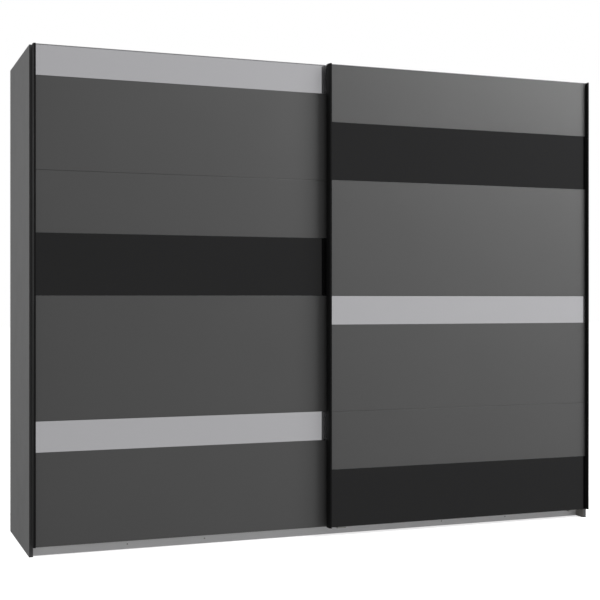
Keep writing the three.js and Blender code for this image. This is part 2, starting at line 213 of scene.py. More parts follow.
def spread(tree, value, low, high, to_low=0.0, to_high=1.0):
    """Stretches the values between low and high to another range, and clips the rest."""
    node = tree.nodes.new("ShaderNodeMapRange")
    node.inputs["From Min"].default_value = low
    node.inputs["From Max"].default_value = high
    node.inputs["To Min"].default_value = to_low
    node.inputs["To Max"].default_value = to_high
    tree.links.new(value, node.inputs["Value"])
    return node.outputs["Result"]


def maths(tree, operation, a, b):
    node = tree.nodes.new("ShaderNodeMath")
    node.operation = operation
    for socket, value in zip(node.inputs, (a, b)):
        if isinstance(value, (int, float)):
            socket.default_value = value
        else:
            tree.links.new(value, socket)
    return node.outputs["Value"]


def mixed(tree, share, first, second):
    node = tree.nodes.new("ShaderNodeMix")
    node.data_type = "RGBA"
    tree.links.new(share, node.inputs["Factor"])
    for label, value in (("A", first), ("B", second)):
        socket = [s for s in node.inputs if s.name == label and s.type == "RGBA"][0]
        if isinstance(value, tuple):
            socket.default_value = value
        else:
            tree.links.new(value, socket)
    return [s for s in node.outputs if s.type == "RGBA"][0]


def melamine_face():
    """Printed melamine paper pressed on chipboard: clouded print, fine pores, a satin skin."""
    inputs = [("Face", COLOUR, (0.1, 0.1, 0.1, 1)), ("Pore", COLOUR, (0.05, 0.05, 0.05, 1)),
              ("Grain", VECTOR, (1, 1, 1)), ("Satin", NUMBER, 0.4)]
    tree, given, place = new_group("melamine_face", inputs)
    clouds = spread(tree, noise(tree, place, 2.3, 2.0), 0.3, 0.7)
    pores = noise(tree, stretched(tree, place, given["Grain"]), 620.0, 2.0)
    pore_mask = spread(tree, pores, 0.60, 0.72)
    print_mask = maths(tree, "MULTIPLY", clouds, 0.10)
    share = maths(tree, "ADD", maths(tree, "MULTIPLY", pore_mask, 0.45), print_mask)
    colour = mixed(tree, share, given["Face"], given["Pore"])
    handled = spread(tree, noise(tree, place, 5.5, 4.0), 0.42, 0.75, 0.0, 0.05)
    satin = maths(tree, "ADD", given["Satin"], handled)
    satin = maths(tree, "ADD", satin, maths(tree, "MULTIPLY", pore_mask, 0.12))
    relief = maths(tree, "SUBTRACT", spread(tree, pores, 0.3, 0.6), pore_mask)
    return put_out(tree, colour, satin, relief)


MELAMINE = melamine_face()


def surface(name, group, values, plain, bump=0.2, depth=0.05 * MM):
    """A Principled material fed by one of the surface groups."""
    material = bpy.data.materials.new(name)
    material.use_nodes = True
    tree = material.node_tree
    shader = tree.nodes["Principled BSDF"]
    for label, value in plain.items():
        shader.inputs[label].default_value = value
    pattern = tree.nodes.new("ShaderNodeGroup")
    pattern.node_tree = group
    for label, value in values.items():
        pattern.inputs[label].default_value = value
    tree.links.new(pattern.outputs["Color"], shader.inputs["Base Color"])
    tree.links.new(pattern.outputs["Roughness"], shader.inputs["Roughness"])
    relief = tree.nodes.new("ShaderNodeBump")
    relief.inputs["Strength"].default_value = bump
    relief.inputs["Distance"].default_value = depth
    tree.links.new(pattern.outputs["Height"], relief.inputs["Height"])
    tree.links.new(relief.outputs["Normal"], shader.inputs["Normal"])
    return material


graphite_side = surface(
    "graphite_side", MELAMINE,
    {"Face": (0.080, 0.080, 0.081, 1), "Pore": (0.050, 0.050, 0.051, 1),
     "Grain": (1.0, 1.0, 0.25), "Satin": 0.42},
    {"Metallic": 0.0, "IOR": 1.5})
# Painted shade: the edge band is a darker graphite than the face, standing for the shade the doors
# cast on the front edges.
edge_band_painted_shade = surface(
    "edge_band_painted_shade", MELAMINE,
    {"Face": (0.062, 0.062, 0.063, 1), "Pore": (0.042, 0.042, 0.042, 1),
     "Grain": (1.0, 1.0, 0.2), "Satin": 0.45},
    {"Metallic": 0.0, "IOR": 1.5})
linen_board = surface(
    "linen_board", MELAMINE,
    {"Face": (0.36, 0.34, 0.315, 1), "Pore": (0.24, 0.225, 0.205, 1),
     "Grain": (1.0, 1.0, 0.3), "Satin": 0.5},
    {"Metallic": 0.0, "IOR": 1.48}, bump=0.35)
SIDE_BOARD = [graphite_side, edge_band_painted_shade, linen_board]


def side_board(node, inward):
    """A piece of the side board: graphite outside, pale inside, with a banded front edge."""
    piece = eased(node, SIDE_BOARD, banded=1)
    for face in piece.data.polygons:
        if face.normal.x * inward > 0.9:
            face.material_index = 2


side_board("side_panel_left", 1)
side_board("side_panel_right", -1)


# ---- Filler strip ----
# A narrow banded strip screwed to the right panel's front edge, so that no gap shows behind the
# front door. It is cut from the same board as the panel.
side_board("side_filler_strip_right", -1)


# ---- Inner boards ----
# Top and bottom panels, the centre partition, the plinths and the hat shelves: chipboard with a
# pale linen-look melamine on both faces and a matching band, held by cam fittings and dowels.
INNER_BOARDS = ["centre_partition", "plinth_front", "plinth_rear", "top_panel_left",
                "top_panel_right", "bottom_panel_left", "bottom_panel_right",
                "hat_shelf_left", "hat_shelf_right"]
for node in INNER_BOARDS:
    eased(node, [linen_board])


# ---- Door boards ----
# Four boards stacked in each door, faced like the sides in a slightly smoother graphite. They are
# rebated where a glass stripe lies flush, and slide into the grips' channels.
graphite_door = surface(
    "graphite_door", MELAMINE,
    {"Face": (0.0545, 0.0545, 0.0545, 1), "Pore": (0.037, 0.037, 0.037, 1),
     "Grain": (0.4, 1.0, 1.0), "Satin": 0.43},
    {"Metallic": 0.0, "IOR": 1.75}, bump=0.15)
SEAM_ARRIS = 0.8 * MM
for door in ("left_door", "right_door"):
    for number in (1, 2, 3, 4):
        eased(f"{door}_board_{number}", [graphite_door], SEAM_ARRIS)


# ---- Glass stripes ----
# Strips of 4 mm float glass, lacquered on the back in silver grey or black, glued into the
# boards' rebates with their ground edges flush to the face.
def lacquered_glass():
    """Lacquer seen through clear glass: an even colour, with faint wipe marks on the surface."""
    inputs = [("Lacquer", COLOUR, (0.4, 0.4, 0.42, 1)), ("Shade", COLOUR, (0.3, 0.3, 0.3, 1))]
    tree, given, place = new_group("lacquered_glass", inputs)
    drift = spread(tree, noise(tree, place, 1.7, 2.0), 0.3, 0.75, 0.0, 0.35)
    colour = mixed(tree, drift, given["Lacquer"], given["Shade"])
    wiped = spread(tree, noise(tree, place, 7.0, 5.0), 0.5, 0.8, 0.03, 0.07)
    return put_out(tree, colour, wiped, noise(tree, place, 3.0, 1.0))


LACQUER = lacquered_glass()
silver_glass = surface(
    "silver_glass", LACQUER,
    {"Lacquer": (0.975, 0.970, 1.0, 1), "Shade": (0.96, 0.955, 0.99, 1)},
    {"Metallic": 0.9, "IOR": 1.52}, bump=0.02)
black_glass = surface(
    "black_glass", LACQUER,
    {"Lacquer": (0.0066, 0.0066, 0.0069, 1), "Shade": (0.0054, 0.0054, 0.0057, 1)},
    {"Metallic": 0.0, "IOR": 1.52}, bump=0.02)
# Painted shade: the ground edges are rough and coloured dark, standing for the shadow in the seam
# between glass and board.
ground_edge_painted_shade = surface(
    "ground_edge_painted_shade", MELAMINE,
    {"Face": (0.060, 0.066, 0.064, 1), "Pore": (0.045, 0.050, 0.048, 1),
     "Grain": (1.0, 1.0, 1.0), "Satin": 0.75},
    {"Metallic": 0.0, "IOR": 1.5})
GROUND_WIDTH = 0.5 * MM
for node in sorted(frame["nodes"]):
    if "_glass_" in node:
        tone = "silver" if "silver" in node else "black"
        look = silver_glass if tone == "silver" else black_glass
        stripe = eased(node, [look, ground_edge_painted_shade], GROUND_WIDTH)
        # The rounded ground edges take the dark painted seam shade.
        for face in stripe.data.polygons:
            if face.use_smooth:
                face.material_index = 1


# ---- Grips ----
# Full-height aluminium extrusions, anodised black, pushed over the boards' edges and screwed.
# Each has a rounded lip along its outer edge to pull on.
def drawn_metal():
    """Extruded or rolled metal: die lines along one direction and a slightly uneven sheen."""
    inputs = [("Metal", COLOUR, (0.6, 0.6, 0.6, 1)), ("Line", COLOUR, (0.4, 0.4, 0.4, 1)),
              ("Lines", VECTOR, (1, 1, 1)), ("Sheen", NUMBER, 0.3)]
    tree, given, place = new_group("drawn_metal", inputs)
    lines = noise(tree, stretched(tree, place, given["Lines"]), 900.0, 3.0, 0.6)
    haze = noise(tree, place, 9.0, 3.0)
    share = spread(tree, lines, 0.45, 0.75, 0.0, 0.7)
    colour = mixed(tree, share, given["Metal"], given["Line"])
    sheen = maths(tree, "ADD", given["Sheen"], spread(tree, lines, 0.3, 0.7, -0.05, 0.08))
    sheen = maths(tree, "ADD", sheen, spread(tree, haze, 0.3, 0.7, -0.03, 0.05))
    return put_out(tree, colour, sheen, lines)


DRAWN = drawn_metal()
ALONG_X = (0.01, 1.0, 1.0)
ALONG_Z = (1.0, 1.0, 0.01)
black_anodised = surface(
    "black_anodised", DRAWN,
    {"Metal": (0.006, 0.006, 0.0062, 1), "Line": (0.004, 0.004, 0.004, 1),
     "Lines": ALONG_Z, "Sheen": 0.5},
    {"Metallic": 0.0, "IOR": 1.22}, bump=0.1)


def smooth_piece(name, shape, material, body, stands_for=(), corner=35):
    """A piece with its curves shaded smooth; corners sharper than the angle stay crisp."""
    mesh = to_mesh(name, shape, [material])
    mesh.shade_smooth()
    mesh.set_sharp_from_angle(angle=math.radians(corner))
    finished(name, mesh, body, stands_for)


def dressed(node, material, arris):
    """An extrusion of the node's own section, with broken corners and smooth curves."""
    shape = whole(node)
    ease(shape, arris, segments=1, corner=50)
    smooth_piece(node + "_dressed", shape, material, node_body(node), [node])


GRIP_ARRIS = 0.12 * MM
for door in ("left_door", "right_door"):
    for end in ("left", "right"):
        dressed(f"{door}_grip_{end}", black_anodised, GRIP_ARRIS)


# ---- Top caps, top track and floor rail ----
# Anodised aluminium extrusions: a thin grey angle over each door's top edge, and in the natural
# finish the double-beaded track on the top panels and the grooved rail on the floor.
natural_anodised = surface(
    "natural_anodised", DRAWN,
    {"Metal": (0.95, 0.95, 0.96, 1), "Line": (0.87, 0.87, 0.88, 1),
     "Lines": ALONG_X, "Sheen": 0.5},
    {"Metallic": 0.7}, bump=0.15)
grey_anodised = surface(
    "grey_anodised", DRAWN,
    {"Metal": (0.30, 0.30, 0.31, 1), "Line": (0.22, 0.22, 0.23, 1),
     "Lines": ALONG_X, "Sheen": 0.45},
    {"Metallic": 0.7}, bump=0.15)
RAIL_ARRIS = 0.15 * MM
for node in ("top_track", "floor_rail"):
    dressed(node, natural_anodised, RAIL_ARRIS)
for node in ("left_door_top_cap", "right_door_top_cap"):
    dressed(node, grey_anodised, RAIL_ARRIS)


# ---- Back sheets ----
# Four sheets of 3 mm hardboard: painted on the face seen inside the wardrobe, raw brown fibre
# behind, with the woven print of the press screen. Plastic H strips join the middle edges.
SCREEN_PITCH = 2.4 * MM


def hardboard():
    """Pressed wood fibre: short matted fibres and the weave left by the press screen."""
    inputs = [("Sheet", COLOUR, (0.3, 0.2, 0.1, 1)), ("Fibre", COLOUR, (0.2, 0.12, 0.06, 1)),
              ("Show", NUMBER, 0.6), ("Matt", NUMBER, 0.7)]
    tree, given, place = new_group("hardboard", inputs)
    axes = tree.nodes.new("ShaderNodeSeparateXYZ")
    tree.links.new(place, axes.inputs["Vector"])
    turns = 2 * math.pi / SCREEN_PITCH
    across = maths(tree, "SINE", maths(tree, "MULTIPLY", axes.outputs["X"], turns), 0.0)
    upward = maths(tree, "SINE", maths(tree, "MULTIPLY", axes.outputs["Z"], turns), 0.0)
    weave = maths(tree, "MULTIPLY", across, upward)
    fibres = noise(tree, place, 260.0, 5.0, 0.7)
    patches = noise(tree, place, 3.0, 3.0)
    share = maths(tree, "MULTIPLY", spread(tree, fibres, 0.4, 0.65), given["Show"])
    share = maths(tree, "ADD", share, spread(tree, patches, 0.35, 0.7, 0.0, 0.15))
    colour = mixed(tree, share, given["Sheet"], given["Fibre"])
    matt = maths(tree, "ADD", given["Matt"], spread(tree, fibres, 0.3, 0.7, -0.06, 0.08))
    relief = maths(tree, "ADD", fibres, maths(tree, "MULTIPLY", weave, 0.3))
    return put_out(tree, colour, matt, relief)


HARDBOARD = hardboard()
painted_sheet = surface(
    "painted_sheet", HARDBOARD,
    {"Sheet": (0.46, 0.44, 0.41, 1), "Fibre": (0.40, 0.38, 0.35, 1), "Show": 0.35, "Matt": 0.55},
    {"Metallic": 0.0, "IOR": 1.45}, bump=0.2)
raw_sheet = surface(
    "raw_sheet", HARDBOARD,
    {"Sheet": (0.235, 0.150, 0.086, 1), "Fibre": (0.145, 0.088, 0.048, 1), "Show": 0.7,
     "Matt": 0.78},
    {"Metallic": 0.0, "IOR": 1.4}, bump=0.5, depth=0.15 * MM)
SHEET_ARRIS = 0.2 * MM
for number in (1, 2, 3, 4):
    sheet = eased(f"back_panel_{number}", [painted_sheet, raw_sheet], SHEET_ARRIS)
    for face in sheet.data.polygons:
        if face.normal.y > 0.9:
            face.material_index = 1


def moulded_plastic():
    """Injection-moulded plastic or rubber: a fine eroded grain with faint flow clouds."""
    inputs = [("Body", COLOUR, (0.6, 0.6, 0.6, 1)), ("Cloud", COLOUR, (0.5, 0.5, 0.5, 1)),
              ("Matt", NUMBER, 0.45)]
    tree, given, place = new_group("moulded_plastic", inputs)
    flow = noise(tree, place, 45.0, 2.0)
    grain = noise(tree, place, 2600.0, 1.0)
    colour = mixed(tree, spread(tree, flow, 0.35, 0.7), given["Body"], given["Cloud"])
    matt = maths(tree, "ADD", given["Matt"], spread(tree, grain, 0.3, 0.7, -0.05, 0.07))
    return put_out(tree, colour, matt, grain)


MOULDED = moulded_plastic()
pale_plastic = surface(
    "pale_plastic", MOULDED,
    {"Body": (0.56, 0.555, 0.53, 1), "Cloud": (0.50, 0.495, 0.47, 1), "Matt": 0.42},
    {"Metallic": 0.0, "IOR": 1.47}, bump=0.15)
for side in ("left", "right"):
    eased(f"back_joint_strip_{side}", [pale_plastic], SHEET_ARRIS)


# ---- Back nails ----
# Zinc-plated sheet nails through the back sheets: down the partition's edge and along the
# edges of the top and bottom panels.
zinc_plate = surface(
    "zinc_plate", DRAWN,
    {"Metal": (0.52, 0.52, 0.50, 1), "Line": (0.40, 0.40, 0.38, 1),
     "Lines": (0.12, 0.12, 0.12), "Sheen": 0.32},
    {"Metallic": 1.0}, bump=0.1)


HEAD_CORNERS = 16
CROWN = 0.7               # radius of a head's flat top over its rim
RECESS_LAND = 0.12        # flat left around the recess, over the rim
RECESS_WAIST = 0.4        # the cross is drawn in between its four arms
RECESS_TAPER = 0.75
RECESS_DEPTH = 0.6        # over the head's height
HEAD_SUNK = 0.1 * MM


def head(shape, place, facing, radius, height, recessed):
    """A fastener's low head standing on a surface, facing away from it, with a cross recess."""
    first = len(shape.verts)
    crown = bmesh.ops.create_cone(shape, cap_ends=True, cap_tris=False, segments=HEAD_CORNERS,
                                  radius1=radius, radius2=CROWN * radius, depth=height)
    crown_faces = {face for vert in crown["verts"] for face in vert.link_faces}
    top = max(crown_faces, key=lambda face: face.calc_center_median().z)
    if recessed:
        bmesh.ops.inset_region(shape, faces=[top], thickness=RECESS_LAND * radius)
        for number, corner in enumerate(top.verts):
            if number % 4:
                corner.co.xy *= RECESS_WAIST
        floor = bmesh.ops.extrude_discrete_faces(shape, faces=[top])["faces"][0]
        for corner in floor.verts:
            corner.co.xy *= RECESS_TAPER
            corner.co.z -= RECESS_DEPTH * height
    shape.verts.ensure_lookup_table()
    upright = Vector((0, 0, 1)).rotation_difference(Vector(facing)).to_matrix().to_4x4()
    stand = Matrix.Translation((0, 0, height / 2 - HEAD_SUNK))
    bmesh.ops.transform(shape, matrix=Matrix.Translation(place) @ upright @ stand,
                        verts=shape.verts[first:])


def heads(name, spots, facing, size, material, body, recessed=True):
    """One piece made of like heads, such as a row of screws; size is their radius and height."""
    shape = bmesh.new()
    for place in spots:
        head(shape, place, facing, *size, recessed)
    smooth_piece(name, shape, material, body)


def row(first, last, pitch):
    """Evenly spaced places from first to last, about a pitch apart."""
    steps = max(1, round(abs(last - first) / pitch))
    return [first + (last - first) * step / steps for step in range(steps + 1)]


NAIL_HEAD = (2.6 * MM, 0.7 * MM)
NAIL_PITCH = 150 * MM
NAIL_MARGIN = 40 * MM
NAIL_FROM_EDGE = 5 * MM
back_low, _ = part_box("back_panel_1")
_, back_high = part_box("back_panel_4")
board_low, board_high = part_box("top_panel_left")
half_board = (board_high.z - board_low.z) / 2
nail_spots = []
for z in (back_low.z + half_board, back_high.z - half_board):
    for number in (1, 2, 3, 4):
        sheet_low, sheet_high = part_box(f"back_panel_{number}")
        for x in row(sheet_low.x + NAIL_MARGIN, sheet_high.x - NAIL_MARGIN, NAIL_PITCH):
            nail_spots.append((x, back_high.y, z))
for z in row(back_low.z + NAIL_PITCH, back_high.z - NAIL_PITCH, NAIL_PITCH):
    for x in (-NAIL_FROM_EDGE, NAIL_FROM_EDGE):
        nail_spots.append((x, back_high.y, z))
heads("back_nails", nail_spots, (0, 1, 0), NAIL_HEAD, zinc_plate, "carcass",
      recessed=False)


# ---- Cam fittings ----
# The panels are drawn together by cams sunk in their faces near each joint; a pressed plastic
# cap with a cross slot covers each cam.
CAM_CAP = (8.5 * MM, 1.3 * MM)
CAM_INSET = 34 * MM
CAM_MARGIN = 60 * MM
cam_spots = {"under_top": [], "on_floor": []}
for side in ("left", "right"):
    for place, node in (("under_top", f"top_panel_{side}"), ("on_floor", f"bottom_panel_{side}")):
        low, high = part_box(node)
        z = low.z if place == "under_top" else high.z
        for x in (low.x + CAM_INSET, high.x - CAM_INSET):
            for y in (low.y + CAM_MARGIN, high.y - CAM_MARGIN):
                cam_spots[place].append((x, y, z))
for place, facing in (("under_top", (0, 0, -1)), ("on_floor", (0, 0, 1))):
    heads(f"cam_caps_{place}", cam_spots[place], facing, CAM_CAP, pale_plastic, "carcass")


# ---- Shelf pins ----
# Each hat shelf rests on four nickelled pins: a peg in the board with a flat tongue that the
# shelf sits on.
PEG_RADIUS = 2.5 * MM
PEG_LENGTH = 7.7 * MM
PEG_DROP = 1.5 * MM
COLLAR_RADIUS = 4.25 * MM
COLLAR_THICKNESS = 1.2 * MM
TONGUE = (11 * MM, 9 * MM, 1.6 * MM)
TONGUE_PLAY = 0.05 * MM
TONGUE_ARRIS = 0.4 * MM
PIN_MARGIN = 55 * MM


def cuboid(shape, low, high, arris, segments=2):
    """A block between two corners with broken edges."""
    middle = (Vector(low) + Vector(high)) / 2
    span = Vector(high) - Vector(low)
    made = bmesh.ops.create_cube(shape, size=1.0)["verts"]
    bmesh.ops.scale(shape, vec=span, verts=made)
    bmesh.ops.translate(shape, vec=middle, verts=made)
    edges = list({edge for vert in made for edge in vert.link_edges})
    bevel(shape, edges, arris, segments)


def rod(shape, start, end, radius, segments=20):
    """A round bar from one point to another."""
    along = Vector(end) - Vector(start)
    turn = Vector((0, 0, 1)).rotation_difference(along).to_matrix().to_4x4()
    place = Matrix.Translation((Vector(start) + Vector(end)) / 2) @ turn
    bmesh.ops.create_cone(shape, cap_ends=True, cap_tris=False, segments=segments,
                          radius1=radius, radius2=radius, depth=along.length, matrix=place)


for side in ("left", "right"):
    low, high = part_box(f"hat_shelf_{side}")
    shape = bmesh.new()
    for wall, inward in ((low.x, 1), (high.x, -1)):
        for y in (low.y + PIN_MARGIN, high.y - PIN_MARGIN):
            tip = wall + inward * TONGUE[0]
            top = low.z - TONGUE_PLAY
            cuboid(shape, (min(wall, tip), y - TONGUE[1] / 2, top - TONGUE[2]),
                   (max(wall, tip), y + TONGUE[1] / 2, top), TONGUE_ARRIS)
            axis = top - TONGUE[2] - PEG_DROP
            peg_end = wall + inward * PEG_LENGTH
            collar_face = wall + inward * COLLAR_THICKNESS
            rod(shape, (wall, y, axis), (peg_end, y, axis), PEG_RADIUS)
            rod(shape, (wall, y, axis), (collar_face, y, axis), COLLAR_RADIUS)
    smooth_piece(f"shelf_pins_{side}", shape, zinc_plate, "carcass")


# ---- Clothes rails ----
# Oval steel tube, chromed, dropped into a plastic socket at each end. A socket has a flange with
# a screw above and below the tube.
chrome_plate = surface(
    "chrome_plate", DRAWN,
    {"Metal": (0.72, 0.72, 0.73, 1), "Line": (0.66, 0.66, 0.67, 1),
     "Lines": (0.02, 1.0, 1.0), "Sheen": 0.09},
    {"Metallic": 1.0}, bump=0.03)
grey_plastic = surface(
    "grey_plastic", MOULDED,
    {"Body": (0.30, 0.30, 0.30, 1), "Cloud": (0.26, 0.26, 0.26, 1), "Matt": 0.42},
    {"Metallic": 0.0, "IOR": 1.47}, bump=0.15)
RAIL_WALL = 1.5 * MM
SOCKET_WALL = 4 * MM
SOCKET_FLANGE = 2.5 * MM
FLANGE_SPREAD = 9 * MM
FLANGE_RISE = 13 * MM
FLANGE_LAP = 1 * MM
SOCKET_SCREW_HEAD = (3.4 * MM, 1.6 * MM)


def oval_loop(shape, centre, width, height, x):
    """An oval of edges standing across X."""
    radius = width / 2
    straight = height / 2 - radius
    ring = bmesh.ops.create_circle(shape, cap_ends=False, segments=48, radius=radius)["verts"]
    bmesh.ops.rotate(shape, verts=ring, cent=(0, 0, 0), matrix=Matrix.Rotation(math.pi / 2, 3, "Y"))
    for vert in ring:
        if abs(vert.co.z) > 0.01 * radius:
            vert.co.z += math.copysign(straight, vert.co.z)
    bmesh.ops.translate(shape, verts=ring, vec=(x, centre.y, centre.z))
    return list({edge for vert in ring for edge in vert.link_edges})


def oval_tube(shape, centre, outer, wall, x0, x1):
    """A tube of oval section, open at both ends; outer is its width and height."""
    width, height = outer
    loops = {}
    for x in (x0, x1):
        loops["outer", x] = oval_loop(shape, centre, width, height, x)
        loops["inner", x] = oval_loop(shape, centre, width - 2 * wall, height - 2 * wall, x)
    for one, other in ((("outer", x0), ("outer", x1)), (("inner", x0), ("inner", x1)),
                       (("outer", x0), ("inner", x0)), (("outer", x1), ("inner", x1))):
        bmesh.ops.bridge_loops(shape, edges=loops[one] + loops[other])
    bmesh.ops.recalc_face_normals(shape, faces=shape.faces)


for side, sockets_here in (("left", (1, 2)), ("right", (3, 4))):
    low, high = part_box(f"clothes_rail_{side}")
    centre = (low + high) / 2
    shape = bmesh.new()
    oval_tube(shape, centre, (high.y - low.y, high.z - low.z), RAIL_WALL, low.x, high.x)
    smooth_piece(f"clothes_rail_{side}_tube", shape, chrome_plate, "carcass",
                [f"clothes_rail_{side}"])
    for number in sockets_here:
        low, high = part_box(f"clothes_rail_socket_{number}")
        inward = 1 if (low.x + high.x) / 2 < centre.x else -1
        wall_x = low.x if inward > 0 else high.x
        collar = (high.y - low.y, high.z - low.z)
        flange = (collar[0] + FLANGE_SPREAD, collar[1] + 2 * FLANGE_RISE)
        face_x = wall_x + inward * SOCKET_FLANGE
        shape = bmesh.new()
        oval_tube(shape, centre, collar, SOCKET_WALL, low.x, high.x)
        oval_tube(shape, centre, flange, FLANGE_SPREAD / 2 + FLANGE_LAP, wall_x, face_x)
        smooth_piece(f"clothes_rail_socket_{number}_moulding", shape, grey_plastic, "carcass",
                    [f"clothes_rail_socket_{number}"])
        rise = collar[1] / 2 + 0.5 * FLANGE_RISE
        spots = [(face_x, centre.y, centre.z + up * rise) for up in (-1, 1)]
        heads(f"clothes_rail_socket_{number}_screws", spots, (inward, 0, 0), SOCKET_SCREW_HEAD,
              zinc_plate, "carcass")


# ---- Track and rail fixings ----
# The top track is screwed down between its beads and the floor rail through its front face. A
# rubber stop straddles both beads near each end of the track, held by a screw in its bridge.
black_rubber = surface(
    "black_rubber", MOULDED,
    {"Body": (0.022, 0.022, 0.022, 1), "Cloud": (0.030, 0.030, 0.030, 1), "Matt": 0.62},
    {"Metallic": 0.0, "IOR": 1.5}, bump=0.3)
carcass_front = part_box("side_panel_left")[0].y
BETWEEN_BEADS = 38 * MM
TRACK_FLOOR = 3 * MM
TRACK_SCREW_SPAN = 1.2
TRACK_SCREW_PITCH = 0.4
TRACK_SCREW_HEAD = (3.8 * MM, 1.8 * MM)
track_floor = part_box("top_panel_left")[1].z + TRACK_FLOOR
spots = [(x, carcass_front + BETWEEN_BEADS, track_floor)
         for x in row(-TRACK_SCREW_SPAN, TRACK_SCREW_SPAN, TRACK_SCREW_PITCH)]
heads("top_track_screws", spots, (0, 0, 1), TRACK_SCREW_HEAD, zinc_plate, "carcass")
STOP_ARRIS = 0.8 * MM
STOP_BRIDGE_DROP = 15.9 * MM
STOP_SCREW_INSET = 15 * MM
spots = []
for side, outward in (("left", -1), ("right", 1)):
    eased(f"track_stop_{side}", [black_rubber], STOP_ARRIS)
    low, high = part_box(f"track_stop_{side}")
    end = high.x if outward > 0 else low.x
    spots.append((end - outward * STOP_SCREW_INSET, (low.y + high.y) / 2,
                  high.z - STOP_BRIDGE_DROP))
heads("track_stop_screws", spots, (0, 0, 1), TRACK_SCREW_HEAD, zinc_plate, "carcass")
RAIL_SCREW_HEAD = (3.6 * MM, 1.4 * MM)
RAIL_SCREW_LEVEL = 0.62   # up the rail's front face
RAIL_SCREW_PLACES = (0.585, 0.930)
rail_low, rail_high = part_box("floor_rail")
rail_screw_z = rail_low.z + RAIL_SCREW_LEVEL * (rail_high.z - rail_low.z)
spots = [(side * x, rail_low.y, rail_screw_z) for x in RAIL_SCREW_PLACES for side in (-1, 1)]
heads("floor_rail_screws", spots, (0, -1, 0), RAIL_SCREW_HEAD, zinc_plate, "carcass")


# ---- Joining strips ----
# A flat steel strip is screwed across each seam on a door's back, so that the four stacked
# boards hang as one panel.
STRIP_WIDTH = 44 * MM
STRIP_THICKNESS = 1.2 * MM
STRIP_INSET = 16 * MM
STRIP_SCREW_RISE = 13 * MM
STRIP_SCREW_PITCH = 0.3
STRIP_SCREW_HEAD = (3.2 * MM, 0.9 * MM)
STRIP_ARRIS = 0.3 * MM
for door in ("left_door", "right_door"):
    shape = bmesh.new()
    spots = []
    for number in (1, 2, 3):
        low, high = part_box(f"{door}_board_{number}")
        strip_low = (low.x + STRIP_INSET, high.y, low.z - STRIP_WIDTH / 2)
        strip_high = (high.x - STRIP_INSET, high.y + STRIP_THICKNESS, low.z + STRIP_WIDTH / 2)
        cuboid(shape, strip_low, strip_high, STRIP_ARRIS, 1)
        ends = (strip_low[0] + STRIP_INSET, strip_high[0] - STRIP_INSET)
        for x in row(*ends, STRIP_SCREW_PITCH):
            for rise in (-STRIP_SCREW_RISE, STRIP_SCREW_RISE):
                spots.append((x, strip_high[1], low.z + rise))
    smooth_piece(f"{door}_joining_strips", shape, zinc_plate, door)
    heads(f"{door}_joining_strip_screws", spots, (0, 1, 0), STRIP_SCREW_HEAD, zinc_plate, door)


# ---- Carriages ----
# Each door hangs on two carriages bent from zinc-plated steel strip. A carriage is screwed to the
# door's back, reaches over the track, and carries the wheel's axle on its leg.
BEND_OUTSIDE = 2.2 * MM
BEND_INSIDE = 0.6 * MM
BEND_STEPS = 4
FOLD_CORNER = 60
SHEET_EDGE = 4 * MM       # a face narrower than this is the strip's cut edge
CUT_ARRIS = 0.25 * MM


def bent_strip(node, material):
    """The node's solid with its folds rounded as bent sheet is, and its cut edges broken."""
    shape = whole(node)
    low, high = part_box(node)
    length = high.x - low.x
    folds = {1: [], -1: []}
    for edge in shape.edges:
        across = abs(edge.verts[0].co.x - edge.verts[1].co.x)
        if across < 0.9 * length or len(edge.link_faces) != 2:
            continue
        widths = [face.calc_area() / length for face in edge.link_faces]
        turn = edge.calc_face_angle_signed()
        if min(widths) > SHEET_EDGE and abs(turn) > math.radians(FOLD_CORNER):
            folds[1 if turn > 0 else -1].append(edge)
    for way, radius in ((1, BEND_OUTSIDE), (-1, BEND_INSIDE)):
        if folds[way]:
            bevel(shape, folds[way], radius, BEND_STEPS)
    bevel(shape, sharp_edges(shape, FOLD_CORNER), CUT_ARRIS, 1)
    smooth_piece(node + "_bent", shape, material, node_body(node), [node], corner=30)


# Thickness of the plates against a door's back; the front door's are thinner.
DOOR_PLATE = {"left_door": 2.5 * MM, "right_door": 2.0 * MM}
CARRIAGE_SCREW_HEAD = (4.0 * MM, 1.0 * MM)
CARRIAGE_SCREW_SIDE = 18 * MM
CARRIAGE_SCREW_RISES = (14 * MM, 46 * MM)
ADJUSTER_HEAD = (3.6 * MM, 1.6 * MM)
ADJUSTER_OFFSET = 12 * MM
for door in ("left_door", "right_door"):
    board_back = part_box(f"{door}_board_1")[1].y
    spots = []
    tops = []
    for end in ("left", "right"):
        node = f"{door}_carriage_{end}"
        bent_strip(node, zinc_plate)
        low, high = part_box(node)
        middle = (low.x + high.x) / 2
        for side in (-1, 1):
            for rise in CARRIAGE_SCREW_RISES:
                x = middle + side * CARRIAGE_SCREW_SIDE
                spots.append((x, board_back + DOOR_PLATE[door], low.z + rise))
            x = middle + side * ADJUSTER_OFFSET
            tops.append((x, (board_back + high.y) / 2, high.z))
    heads(f"{door}_carriage_screws", spots, (0, 1, 0), CARRIAGE_SCREW_HEAD, zinc_plate, door)
    heads(f"{door}_height_adjusters", tops, (0, 0, 1), ADJUSTER_HEAD, zinc_plate, door)


